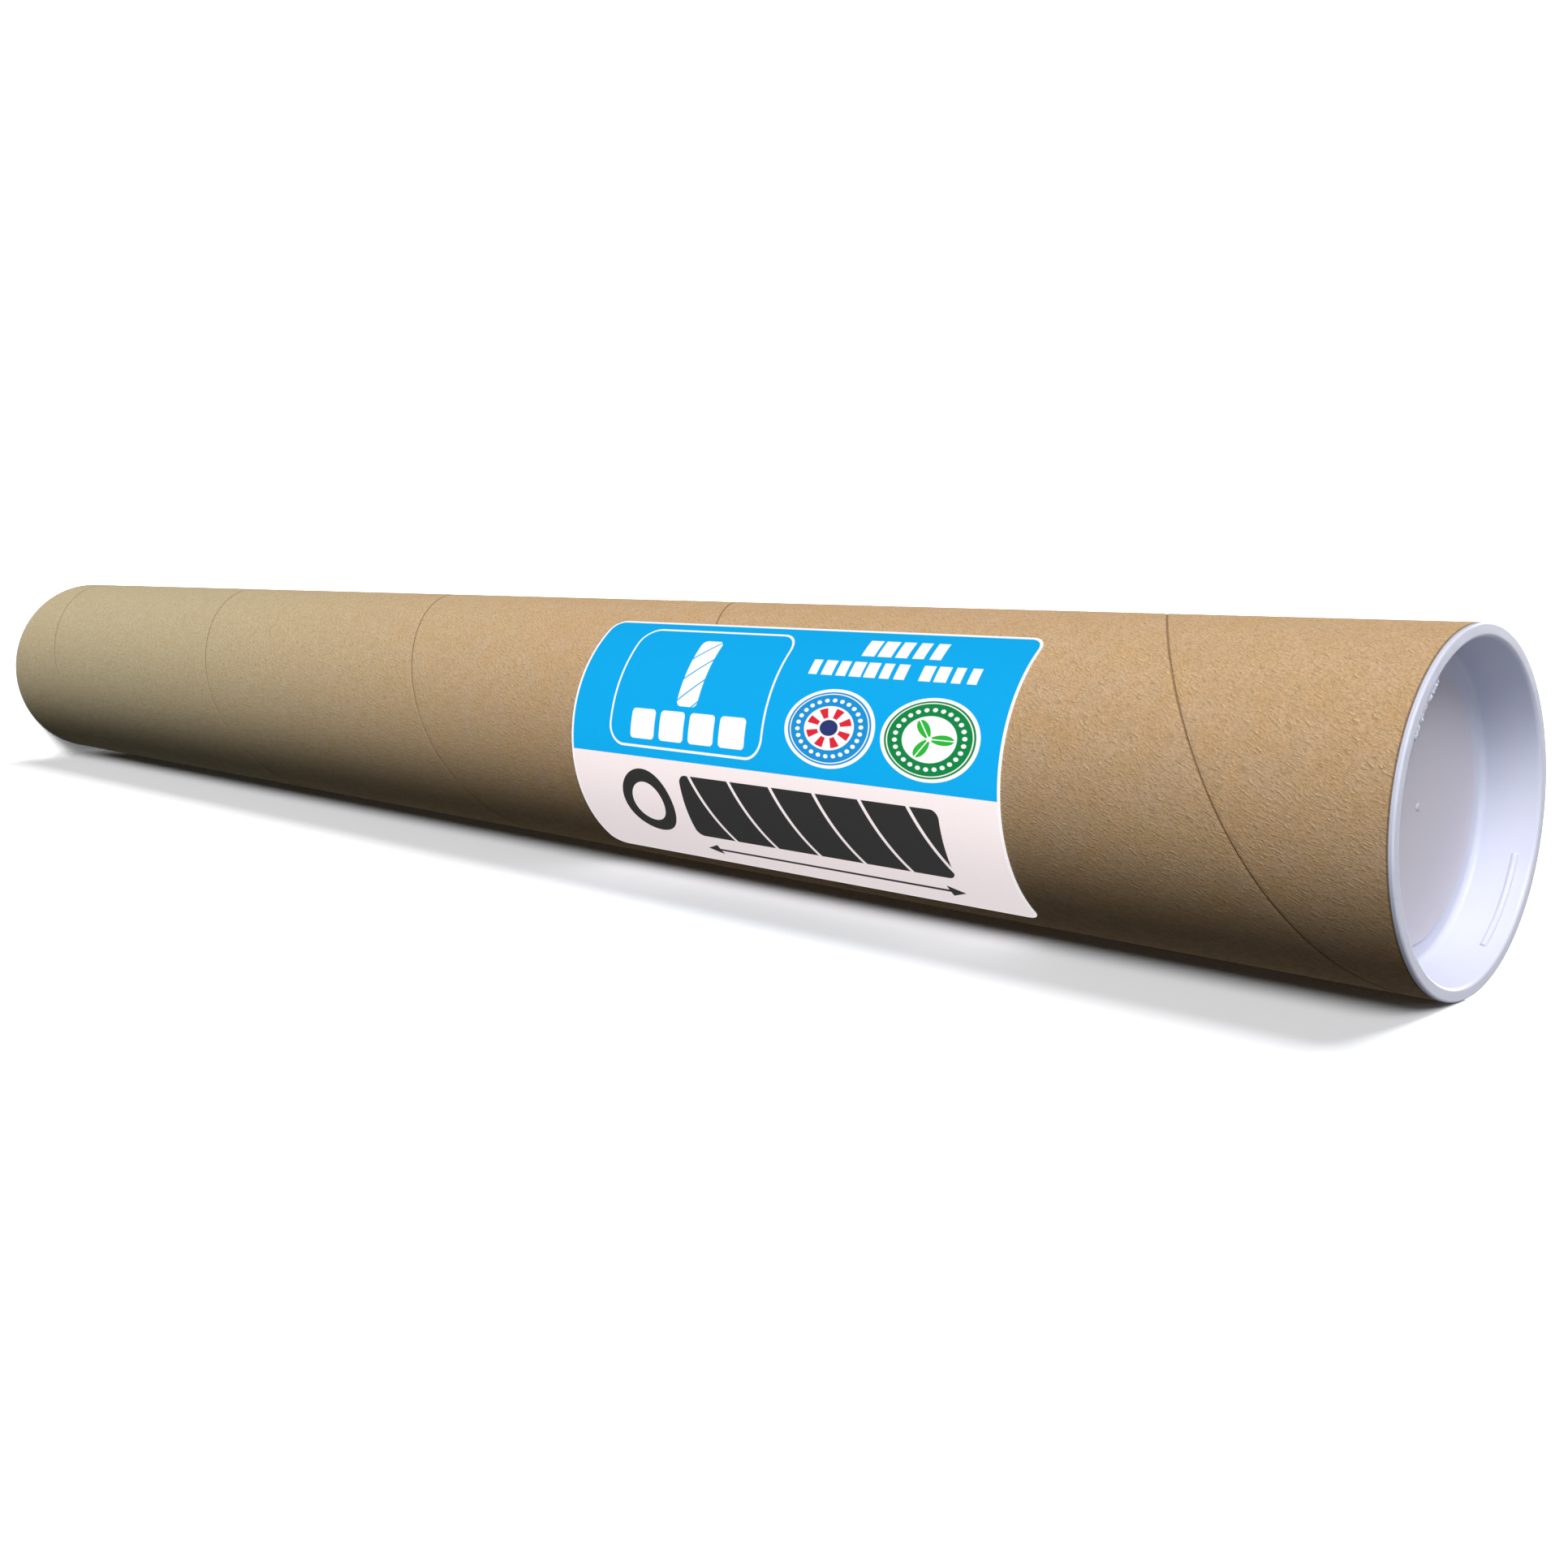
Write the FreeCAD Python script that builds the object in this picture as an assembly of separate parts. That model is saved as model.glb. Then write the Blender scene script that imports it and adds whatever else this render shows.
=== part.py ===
"""Cardboard mailing tube: a spiral wound tube, a push-in cap at each end and one sticker.

Millimetres. The tube stands on its far cap: the origin is the centre of that cap's rim on the
ground, +Z runs up the axis to the near cap, and the sticker faces -Y.
"""
import FreeCAD, Part
import math
import os

Vector = FreeCAD.Vector
Vector2d = FreeCAD.Base.Vector2d
UP = Vector(0, 0, 1)
ORIGIN = Vector(0, 0, 0)
FULL_TURN = 360.0
FIT_TOLERANCE = 0.0001

# Paper tube
tube_length = 660.4
tube_bore = 76.2
tube_wall = 1.8

# Spiral seam of the outer ply
seam_pitch = 144.2
seam_from_near_end = 72.1
seam_azimuth = 180.0
seam_width = 0.5
seam_depth = 0.2
seam_run_out = 2.0

# End caps
plug_clearance = 0.05
rim_thickness = 1.2
rim_round = 0.5
rim_under_round = 0.2
cap_wall = 1.2
cap_floor = 1.2
lip_round = 0.8
grip_length = 3.0
plug_draft = 1.55
plug_end_round = 1.5
recess_depth = 11.4
foot_round = 1.4
shelf_width = 4.8
disc_height = 0.4

# Moulded marks inside the caps
rib_depth = 3.8
rib_width = 1.5
rib_azimuth = 29.0
rib_angle = 40.0
gate_radius = 1.0
gate_top_radius = 0.6
gate_height = 0.35

# Sticker
label_length = 155.0
label_wrap = 81.2
label_thickness = 0.15
label_glue = 0.06
label_corner = 4.5
label_from_near_end = 168.0
label_azimuth = 270.0

# Sizes that follow
tube_radius = tube_bore / 2 + tube_wall
far_end_z = rim_thickness
near_end_z = far_end_z + tube_length
grip_radius = tube_bore / 2 - plug_clearance
lip_radius = grip_radius - cap_wall
foot_radius = lip_radius - plug_draft
disc_radius = foot_radius - shelf_width
label_radius = tube_radius + label_glue


def ring(outer_radius, inner_radius, low_z, height):
    """A plain round wall."""
    low = Vector(0, 0, low_z)
    outer = Part.makeCylinder(outer_radius, height, low)
    return outer.cut(Part.makeCylinder(inner_radius, height, low))


def tangent_points(before, corner, after, radius):
    """Where an arc of this radius leaves and joins the two straight lines at a corner, and its middle."""
    back = (before - corner).normalize()
    ahead = (after - corner).normalize()
    half_angle = back.getAngle(ahead) / 2
    reach = radius / math.tan(half_angle)
    bisector = (back + ahead).normalize()
    middle = corner + bisector * (radius / math.sin(half_angle) - radius)
    return corner + back * reach, middle, corner + ahead * reach


def rounded_outline(corners):
    """A closed face in the XZ plane from corners given as (radius, height, rounding)."""
    points = [Vector(radius, 0, height) for radius, height, rounding in corners]
    roundings = [rounding for radius, height, rounding in corners]
    stops = []
    edges = []
    for index, point in enumerate(points):
        if roundings[index] == 0:
            stops.append((point, point))
            continue
        after = points[(index + 1) % len(points)]
        start, middle, end = tangent_points(points[index - 1], point, after, roundings[index])
        edges.append(Part.Arc(start, middle, end).toShape())
        stops.append((start, end))
    for index, (start, end) in enumerate(stops):
        next_start = stops[(index + 1) % len(stops)][0]
        edges.append(Part.makeLine(end, next_start))
    return Part.Face(Part.Wire(Part.sortEdges(edges)[0]))


def seam_groove():
    """The helical groove along the outer ply's butt joint. It starts below height 0, at azimuth 0."""
    path = Part.makeHelix(seam_pitch, tube_length + 2 * seam_run_out, tube_radius)
    inner = tube_radius - seam_depth
    outer = tube_radius + seam_depth
    half = seam_width / 2
    corners = [
        Vector(inner, 0, -half),
        Vector(outer, 0, -half),
        Vector(outer, 0, half),
        Vector(inner, 0, half),
    ]
    section = Part.makePolygon(corners + corners[:1])
    groove = Part.Wire(path.Edges).makePipeShell([section], True, True)
    groove.translate(Vector(0, 0, -seam_run_out))
    return groove


def paper_tube():
    """The kraft tube, turned until its spiral seam crosses the stated azimuth at the stated height."""
    body = ring(tube_radius, tube_bore / 2, 0, tube_length).cut(seam_groove())
    crossing_z = tube_length - seam_from_near_end
    azimuth_there = FULL_TURN * (crossing_z + seam_run_out) / seam_pitch
    body.rotate(ORIGIN, UP, seam_azimuth - azimuth_there)
    body.translate(Vector(0, 0, far_end_z))
    return body.Solids[0]


def cap_section():
    """Half of the cap's section, with the rim's underside at height 0 and the plug below it."""
    return rounded_outline([
        (0, -recess_depth - cap_floor, 0),
        (grip_radius - plug_draft, -recess_depth - cap_floor, plug_end_round),
        (grip_radius, -grip_length, 0),
        (grip_radius, 0, 0),
        (tube_radius, 0, rim_under_round),
        (tube_radius, rim_thickness, rim_round),
        (lip_radius, rim_thickness, lip_round),
        (foot_radius, -recess_depth, foot_round),
        (disc_radius, -recess_depth, 0),
        (disc_radius, disc_height - recess_depth, 0),
        (0, disc_height - recess_depth, 0),
    ])


def inner_wall_radius(height):
    """The recess's radius at a height above the rim's underside."""
    fallen = (rim_thickness - height) / (rim_thickness + recess_depth)
    return lip_radius - plug_draft * fallen


def inner_rib():
    """A short half-round rib that runs part of the way round the inside of the wall."""
    height = rim_thickness - rib_depth
    centre = Vector(inner_wall_radius(height), 0, height)
    circle = Part.makeCircle(rib_width / 2, centre, Vector(0, 1, 0))
    rib = Part.Face(Part.Wire(circle)).revolve(ORIGIN, UP, rib_angle)
    rib.rotate(ORIGIN, UP, rib_azimuth)
    return rib


def gate_mark():
    """The small stub that moulding leaves at the middle of the disc."""
    base = Vector(0, 0, disc_height - recess_depth)
    return Part.makeCone(gate_radius, gate_top_radius, gate_height, base)


def end_cap():
    """One cap, rim up, with its rim's underside at height 0."""
    body = cap_section().revolve(ORIGIN, UP, FULL_TURN)
    return body.fuse([inner_rib(), gate_mark()]).removeSplitter()


def near_end_cap():
    """The cap at the top, its rim on the tube's near end."""
    cap = end_cap()
    cap.translate(Vector(0, 0, near_end_z))
    return cap


def far_end_cap():
    """The cap at the bottom, turned over, its rim between the ground and the tube."""
    cap = end_cap()
    cap.rotate(ORIGIN, Vector(1, 0, 0), 180)
    cap.translate(Vector(0, 0, far_end_z))
    return cap


def label_outline(surface):
    """The sticker's edge on a round surface, as (angle, height) curves with four rounded corners."""
    half_angle = label_wrap / label_radius / 2
    half_length = label_length / 2
    corner_angle = label_corner / label_radius
    straight_angle = half_angle - corner_angle
    straight_length = half_length - label_corner
    curves = []
    for quarter, (side, end) in enumerate([(-1, 1), (-1, -1), (1, -1), (1, 1)]):
        centre = Vector2d(side * straight_angle, end * straight_length)
        corner = Part.Geom2d.Ellipse2d(centre, label_corner, corner_angle)
        corner.XAxis = Vector2d(0, 1)
        start = quarter * math.pi / 2
        curves.append(Part.Geom2d.ArcOfEllipse2d(corner, start, start + math.pi / 2))
    for side in (-1, 1):
        low = Vector2d(side * half_angle, -straight_length)
        high = Vector2d(side * half_angle, straight_length)
        curves.append(Part.Geom2d.Line2dSegment(low, high))
    for end in (-1, 1):
        left = Vector2d(-straight_angle, end * half_length)
        right = Vector2d(straight_angle, end * half_length)
        curves.append(Part.Geom2d.Line2dSegment(left, right))
    edges = [curve.toShape(surface) for curve in curves]
    return Part.Wire(Part.sortEdges(edges)[0])


def label():
    """The sticker: a patch that lies on its glue round the tube, given its thickness outwards."""
    surface = Part.Cylinder()
    surface.Radius = label_radius
    patch = Part.Face(surface, label_outline(surface))
    patch.validate()
    sticker = patch.makeOffsetShape(label_thickness, FIT_TOLERANCE, fill=True)
    sticker.rotate(ORIGIN, UP, label_azimuth)
    sticker.translate(Vector(0, 0, near_end_z - label_from_near_end))
    return sticker


def main():
    os.makedirs("parts", exist_ok=True)
    paper_tube().exportStep("parts/paper_tube.step")
    near_end_cap().exportStep("parts/near_end_cap.step")
    far_end_cap().exportStep("parts/far_end_cap.step")
    label().exportStep("parts/label.step")


main()
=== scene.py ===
import math

import bmesh
import bpy
from mathutils import Matrix, Vector


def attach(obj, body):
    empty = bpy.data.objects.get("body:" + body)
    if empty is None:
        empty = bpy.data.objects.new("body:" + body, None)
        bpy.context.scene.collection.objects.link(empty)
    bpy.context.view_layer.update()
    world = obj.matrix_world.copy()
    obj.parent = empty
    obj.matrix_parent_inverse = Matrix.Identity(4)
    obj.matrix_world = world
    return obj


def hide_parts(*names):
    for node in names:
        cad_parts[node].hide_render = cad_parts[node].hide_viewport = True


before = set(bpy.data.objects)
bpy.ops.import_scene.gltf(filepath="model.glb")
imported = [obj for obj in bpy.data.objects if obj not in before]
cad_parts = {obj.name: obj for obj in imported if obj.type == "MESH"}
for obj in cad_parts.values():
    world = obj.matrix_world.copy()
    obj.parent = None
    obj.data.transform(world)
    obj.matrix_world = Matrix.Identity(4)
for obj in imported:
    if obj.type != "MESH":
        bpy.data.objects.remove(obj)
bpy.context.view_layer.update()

MM = 0.001

# Sizes of the tube, its caps and its sticker, in metres
TUBE_LENGTH = 660.4 * MM
TUBE_BORE = 76.2 * MM
TUBE_WALL = 1.8 * MM
TUBE_SIDES = 144
SEAM_PITCH = 144.2 * MM
SEAM_FROM_NEAR_END = 72.1 * MM
SEAM_AZIMUTH = math.pi
SEAM_WIDTH = 0.5 * MM
SEAM_DEPTH = 0.2 * MM
PLY_EDGE = 1.2 * MM
PLY_EDGE_DIP = 0.05 * MM
BOARD_PLY = 0.36 * MM
FIBRE_SLANT = math.radians(33)
FIBRE_LENGTH = 2.7 * MM
FIBRE_WIDTH = 0.38 * MM
HAIR_LENGTH = 0.9 * MM
HAIR_WIDTH = 0.3 * MM

CAP_SIDES = 160
PLUG_CLEARANCE = 0.05 * MM
RIM_THICKNESS = 1.2 * MM
RIM_ROUND = 0.5 * MM
RIM_UNDER_ROUND = 0.2 * MM
CAP_WALL = 1.2 * MM
CAP_FLOOR = 1.2 * MM
LIP_ROUND = 0.8 * MM
GRIP_LENGTH = 3.0 * MM
PLUG_DRAFT = 1.55 * MM
PLUG_END_ROUND = 1.5 * MM
RECESS_DEPTH = 11.4 * MM
FOOT_ROUND = 1.4 * MM
SHELF_WIDTH = 4.8 * MM
DISC_HEIGHT = 0.4 * MM
DISC_ROUND = 0.12 * MM
RIB_DEPTH = 3.8 * MM
RIB_WIDTH = 1.5 * MM
RIB_AZIMUTH = math.radians(29)
RIB_ANGLE = math.radians(40)
RIB_END_ROUND = 0.4 * MM
RIB_SIDES = 16
RIB_STEPS = 24
GATE_RADIUS = 1.0 * MM
GATE_TOP_RADIUS = 0.6 * MM
GATE_HEIGHT = 0.35 * MM
FLASH_AZIMUTH = math.radians(216)
FLASH_ANGLE = math.radians(24)
FLASH_REACH = 2.4 * MM
FLASH_LEVEL = 0.1 * MM
FLASH_RISE = 0.6 * MM
FLASH_RAGGED = 0.8 * MM
FLASH_THICKNESS = 0.35 * MM
FLASH_EVEN_SHARE = 0.4
FLASH_STEPS = 56

LABEL_LENGTH = 155.0 * MM
LABEL_WRAP = 81.2 * MM
LABEL_THICKNESS = 0.13 * MM
LABEL_GLUE = 0.06 * MM
LABEL_CORNER = 4.5 * MM
LABEL_FROM_NEAR_END = 168.0 * MM
LABEL_CUTS = 72

TUBE_RADIUS = TUBE_BORE / 2 + TUBE_WALL
NEAR_END = RIM_THICKNESS + TUBE_LENGTH
GRIP_RADIUS = TUBE_BORE / 2 - PLUG_CLEARANCE
LIP_RADIUS = GRIP_RADIUS - CAP_WALL
FOOT_RADIUS = LIP_RADIUS - PLUG_DRAFT
DISC_RADIUS = FOOT_RADIUS - SHELF_WIDTH
LABEL_RADIUS = TUBE_RADIUS + LABEL_GLUE
SMOOTH_BELOW = math.radians(35)
CLOSE = 0.02 * MM
CUT_WITHIN = 0.0005 * MM

# A face looks along the axis where its normal's height is past this
FACES_AXIS = 0.9


# Working in edit mode

def deselect():
    bpy.ops.object.select_all(action="DESELECT")


def name_piece(name):
    piece = bpy.context.object
    piece.name = name
    piece.data.name = name
    return piece


def settle():
    """Writes the new piece's place, turn and scale into its mesh."""
    bpy.ops.object.transform_apply(location=True, rotation=True, scale=True)


def activate(piece):
    """Makes this the only selected piece."""
    deselect()
    piece.select_set(True)
    bpy.context.view_layer.objects.active = piece


def edit(piece):
    activate(piece)
    bpy.ops.object.mode_set(mode="EDIT")


def leave():
    bpy.ops.object.mode_set(mode="OBJECT")


def pick(piece, kind, wanted):
    """Selects the vertices, edges or faces that pass the test, and nothing else."""
    bpy.ops.mesh.select_mode(type=kind)
    bpy.ops.mesh.select_all(action="DESELECT")
    shape = bmesh.from_edit_mesh(piece.data)
    parts = {"VERT": shape.verts, "EDGE": shape.edges, "FACE": shape.faces}[kind]
    for part in parts:
        part.select_set(wanted(part))
    shape.select_flush_mode()
    bmesh.update_edit_mesh(piece.data)


def pick_all():
    bpy.ops.mesh.select_mode(type="VERT")
    bpy.ops.mesh.select_all(action="SELECT")


def round_out(point):
    return math.hypot(point.x, point.y)


def ring_at(radius, height):
    """A test for the edges that run round the axis at this radius and height."""
    def wanted(edge):
        return all(
            abs(round_out(corner.co) - radius) < CLOSE * 3 and abs(corner.co.z - height) < CLOSE
            for corner in edge.verts
        )
    return wanted


def open_edge_at(height):
    """A test for the edges of an open end at this height."""
    def wanted(edge):
        return edge.is_boundary and all(abs(corner.co.z - height) < CLOSE for corner in edge.verts)
    return wanted


def extend(offset):
    """Draws an edge out of the picked vertex by this much."""
    bpy.ops.mesh.extrude_vertices_move(TRANSFORM_OT_translate={"value": offset})


def push(offset):
    """Extrudes the picked faces by this much."""
    bpy.ops.mesh.extrude_region_move(TRANSFORM_OT_translate={"value": offset})


def widen(factor, height):
    """Scales the picked faces about the axis."""
    bpy.ops.transform.resize(value=(factor, factor, 1), center_override=(0, 0, height))


def apply(piece, kind, **settings):
    """Gives the piece a modifier and applies it."""
    activate(piece)
    modifier = piece.modifiers.new(kind.title(), kind)
    for setting, value in settings.items():
        setattr(modifier, setting, value)
    bpy.ops.object.modifier_apply(modifier=modifier.name)


def smooth(piece):
    activate(piece)
    bpy.ops.object.shade_smooth_by_angle(angle=SMOOTH_BELOW)


def join(pieces):
    deselect()
    for piece in pieces:
        piece.select_set(True)
    bpy.context.view_layer.objects.active = pieces[0]
    bpy.ops.object.join()
    return pieces[0]


# Tube

def seam_height(turns):
    """The seam's height this many turns up from azimuth 0. It starts below the tube."""
    crossing = NEAR_END - SEAM_FROM_NEAR_END - SEAM_PITCH * SEAM_AZIMUTH / math.tau
    below = math.ceil((crossing - RIM_THICKNESS) / SEAM_PITCH) + 1
    return crossing - below * SEAM_PITCH + turns * SEAM_PITCH


def ply_profile():
    """An edge up the tube's side, as wide as the ply, with half of the seam's groove at each end."""
    low = seam_height(0) + SEAM_WIDTH / 2
    width = SEAM_PITCH - SEAM_WIDTH
    bpy.ops.mesh.primitive_plane_add(
        size=width,
        location=(TUBE_RADIUS, width / 2, low + width / 2),
        rotation=(0, math.pi / 2, 0),
    )
    ply = name_piece("kraft_tube")
    settle()
    edit(ply)
    pick(ply, "VERT", lambda corner: corner.co.y > width / 2)
    bpy.ops.mesh.delete(type="VERT")
    near_edge = [PLY_EDGE / 2, PLY_EDGE]
    middle = [width / 4, width / 2, width * 3 / 4]
    far_edge = [width - step for step in near_edge]
    for rise in near_edge + middle + far_edge:
        pick_all()
        bpy.ops.mesh.bisect(plane_co=(0, 0, low + rise), plane_no=(0, 0, 1), threshold=CUT_WITHIN)
    for end, outward in ((low, -SEAM_WIDTH / 2), (low + width, SEAM_WIDTH / 2)):
        pick(ply, "VERT", lambda corner: abs(corner.co.z - end) < CLOSE)
        bpy.ops.transform.translate(value=(-PLY_EDGE_DIP, 0, 0))
        extend((PLY_EDGE_DIP - SEAM_DEPTH, 0, 0))
        extend((0, 0, outward))
    leave()
    return ply


def wind_ply(ply):
    """Winds the edge up round the axis, and trims the winding at the tube's two ends."""
    turns = math.ceil((NEAR_END - seam_height(0)) / SEAM_PITCH)
    apply(
        ply,
        "SCREW",
        axis="Z",
        angle=math.tau,
        screw_offset=SEAM_PITCH,
        iterations=turns,
        steps=TUBE_SIDES,
        render_steps=TUBE_SIDES,
        use_merge_vertices=False,
    )
    edit(ply)
    pick_all()
    bpy.ops.mesh.remove_doubles(threshold=CLOSE / 4)
    for height, up in ((RIM_THICKNESS, -1), (NEAR_END, 1)):
        pick_all()
        bpy.ops.mesh.bisect(
            plane_co=(0, 0, height), plane_no=(0, 0, up), clear_outer=True, threshold=CUT_WITHIN
        )
    leave()


def unroll_ply(ply):
    """A map of the wound sheet laid flat: u runs along the sheet and v across it, in metres."""
    flat = ply.data.uv_layers.new(name="ply")
    slope = math.atan(SEAM_PITCH / (math.tau * TUBE_RADIUS))
    along, across = math.cos(slope), math.sin(slope)
    for face in ply.data.polygons:
        middle = math.atan2(face.center.y, face.center.x) % math.tau
        turn = math.floor((face.center.z - seam_height(0)) / SEAM_PITCH - middle / math.tau)
        for corner in face.loop_indices:
            place = ply.data.vertices[ply.data.loops[corner].vertex_index].co
            azimuth = math.atan2(place.y, place.x)
            azimuth += math.tau * round((middle - azimuth) / math.tau)
            round_way = TUBE_RADIUS * (azimuth + math.tau * turn)
            up = place.z - seam_height(0)
            flat.data[corner].uv = (
                round_way * along + up * across,
                up * along - round_way * across,
            )


def close_tube(ply):
    """Adds the bore, and joins it to the winding by the two cut ends."""
    edit(ply)
    bpy.ops.mesh.select_all(action="DESELECT")
    bpy.ops.mesh.primitive_cylinder_add(
        vertices=TUBE_SIDES,
        radius=TUBE_BORE / 2,
        depth=TUBE_LENGTH,
        end_fill_type="NOTHING",
        location=(0, 0, (RIM_THICKNESS + NEAR_END) / 2),
    )
    for height in (RIM_THICKNESS, NEAR_END):
        pick(ply, "EDGE", open_edge_at(height))
        bpy.ops.mesh.fill(use_beauty=True)
    pick_all()
    bpy.ops.mesh.normals_make_consistent(inside=False)
    leave()


def kraft_tube():
    ply = ply_profile()
    wind_ply(ply)
    unroll_ply(ply)
    close_tube(ply)
    smooth(ply)
    return ply


# End caps

def cap_body(name):
    """One cap, rim up, with its rim's underside at height 0."""
    bpy.ops.mesh.primitive_cylinder_add(
        vertices=CAP_SIDES,
        radius=TUBE_RADIUS,
        depth=RIM_THICKNESS,
        location=(0, 0, RIM_THICKNESS / 2),
    )
    cap = name_piece(name)
    settle()
    edit(cap)
    hollow_recess(cap)
    draw_plug(cap)
    round_edges(cap)
    pick_all()
    bpy.ops.mesh.normals_make_consistent(inside=False)
    leave()
    return cap


def hollow_recess(cap):
    pick(cap, "FACE", lambda face: face.normal.z > FACES_AXIS)
    bpy.ops.mesh.inset(thickness=TUBE_RADIUS - LIP_RADIUS)
    push((0, 0, -RIM_THICKNESS - RECESS_DEPTH))
    widen(FOOT_RADIUS / LIP_RADIUS, -RECESS_DEPTH)
    bpy.ops.mesh.inset(thickness=SHELF_WIDTH)
    push((0, 0, DISC_HEIGHT))
    bpy.ops.mesh.inset(thickness=DISC_RADIUS / 2)
    bpy.ops.mesh.inset(thickness=DISC_RADIUS / 2 - GATE_RADIUS)
    push((0, 0, GATE_HEIGHT))
    widen(GATE_TOP_RADIUS / GATE_RADIUS, 0)


def draw_plug(cap):
    def rim_underside(face):
        return face.normal.z < -FACES_AXIS and abs(face.calc_center_median().z) < CLOSE

    pick(cap, "FACE", rim_underside)
    bpy.ops.mesh.inset(thickness=TUBE_RADIUS - GRIP_RADIUS)
    push((0, 0, -GRIP_LENGTH))
    push((0, 0, GRIP_LENGTH - RECESS_DEPTH - CAP_FLOOR))
    widen((GRIP_RADIUS - PLUG_DRAFT) / GRIP_RADIUS, 0)


def round_edges(cap):
    rings = [
        (TUBE_RADIUS, RIM_THICKNESS, RIM_ROUND, 6),
        (TUBE_RADIUS, 0, RIM_UNDER_ROUND, 3),
        (LIP_RADIUS, RIM_THICKNESS, LIP_ROUND, 6),
        (FOOT_RADIUS, -RECESS_DEPTH, FOOT_ROUND, 6),
        (DISC_RADIUS, DISC_HEIGHT - RECESS_DEPTH, DISC_ROUND, 2),
        (GRIP_RADIUS - PLUG_DRAFT, -RECESS_DEPTH - CAP_FLOOR, PLUG_END_ROUND, 6),
    ]
    for radius, height, rounding, segments in rings:
        pick(cap, "EDGE", ring_at(radius, height))
        bpy.ops.mesh.bevel(offset=rounding, segments=segments, affect="EDGES")


def inner_rib():
    """A short half-round rib part of the way round the inside of the wall."""
    height = RIM_THICKNESS - RIB_DEPTH
    wall = LIP_RADIUS - PLUG_DRAFT * RIB_DEPTH / (RIM_THICKNESS + RECESS_DEPTH)
    bpy.ops.mesh.primitive_circle_add(
        vertices=RIB_SIDES,
        radius=RIB_WIDTH / 2,
        fill_type="NGON",
        location=(wall, 0, height),
        rotation=(math.pi / 2, 0, 0),
    )
    rib = name_piece("inner_rib")
    settle()
    edit(rib)
    pick_all()
    bpy.ops.mesh.spin(steps=RIB_STEPS, angle=RIB_ANGLE, center=(0, 0, 0), axis=(0, 0, -1))
    pick_all()
    bpy.ops.mesh.remove_doubles(threshold=CLOSE / 4)
    bpy.ops.mesh.normals_make_consistent(inside=False)
    pick(rib, "FACE", lambda face: len(face.verts) > 4)
    bpy.ops.mesh.bevel(offset=RIB_END_ROUND, segments=3, affect="EDGES")
    leave()
    turn_about_axis(rib, RIB_AZIMUTH)
    return rib


def turn_about_axis(piece, angle):
    piece.data.transform(Matrix.Rotation(angle, 4, "Z"))


def lip_flash():
    """The ragged flap of plastic that moulding left along a stretch of the lip."""
    outer = LIP_RADIUS + LIP_ROUND
    bpy.ops.mesh.primitive_plane_add(
        size=FLASH_REACH,
        location=(outer - FLASH_REACH / 2, FLASH_REACH / 2, FLASH_LEVEL),
    )
    flash = name_piece("lip_flash")
    settle()
    edit(flash)
    pick(flash, "VERT", lambda corner: corner.co.y > FLASH_REACH / 2)
    bpy.ops.mesh.delete(type="VERT")
    pick(flash, "VERT", lambda corner: corner.co.x < outer - FLASH_REACH / 2)
    bpy.ops.transform.translate(value=(0, 0, FLASH_RISE))
    pick_all()
    bpy.ops.mesh.subdivide(number_cuts=3)
    pick_all()
    bpy.ops.mesh.spin(steps=FLASH_STEPS, angle=FLASH_ANGLE, center=(0, 0, 0), axis=(0, 0, -1))
    loose_edge = outer - FLASH_REACH * FLASH_EVEN_SHARE
    pick(flash, "VERT", lambda corner: round_out(corner.co) < loose_edge)
    bpy.ops.transform.vertex_random(offset=FLASH_RAGGED, seed=7)
    bpy.ops.mesh.vertices_smooth(factor=0.35)
    leave()
    apply(flash, "SOLIDIFY", thickness=FLASH_THICKNESS, offset=0)
    apply(flash, "SUBSURF", levels=1, render_levels=1)
    turn_about_axis(flash, FLASH_AZIMUTH)
    return flash


def finish_cap(pieces):
    cap = join(pieces)
    smooth(cap)
    apply(cap, "WEIGHTED_NORMAL", keep_sharp=True)
    return cap


def near_cap():
    """The cap at the top, its rim on the tube's near end."""
    cap = finish_cap([cap_body("near_cap"), inner_rib(), lip_flash()])
    cap.data.transform(Matrix.Translation((0, 0, NEAR_END)))
    return cap


def far_cap():
    """The cap at the bottom, turned over, its rim between the ground and the tube."""
    cap = finish_cap([cap_body("far_cap"), inner_rib()])
    cap.data.transform(Matrix.Rotation(math.pi, 4, "X"))
    cap.data.transform(Matrix.Translation((0, 0, RIM_THICKNESS)))
    return cap


# Sticker

def sticker():
    """A flat sheet with rounded corners, bent round the tube and given its thickness outwards."""
    bpy.ops.mesh.primitive_plane_add(size=1, rotation=(math.pi / 2, 0, 0))
    sheet = name_piece("sticker")
    sheet.scale = (LABEL_WRAP, LABEL_LENGTH, 1)
    settle()
    edit(sheet)
    pick_all()
    bpy.ops.mesh.bevel(offset=LABEL_CORNER, segments=10, affect="VERTICES")
    for cut in range(1, LABEL_CUTS):
        pick_all()
        across = LABEL_WRAP * (cut / LABEL_CUTS - 0.5)
        bpy.ops.mesh.bisect(plane_co=(across, 0, 0), plane_no=(1, 0, 0), threshold=CUT_WITHIN)
    leave()
    lay_flat_map(sheet)
    bend_round_tube(sheet)
    apply(sheet, "SOLIDIFY", thickness=LABEL_THICKNESS, offset=1)
    smooth(sheet)
    return sheet


def lay_flat_map(sheet):
    """u runs along the sticker from its far end, v round it from its upper edge, in metres."""
    flat = sheet.data.uv_layers.new(name="print")
    for corner in sheet.data.loops:
        place = sheet.data.vertices[corner.vertex_index].co
        flat.data[corner.index].uv = (place.z + LABEL_LENGTH / 2, place.x + LABEL_WRAP / 2)


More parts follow.
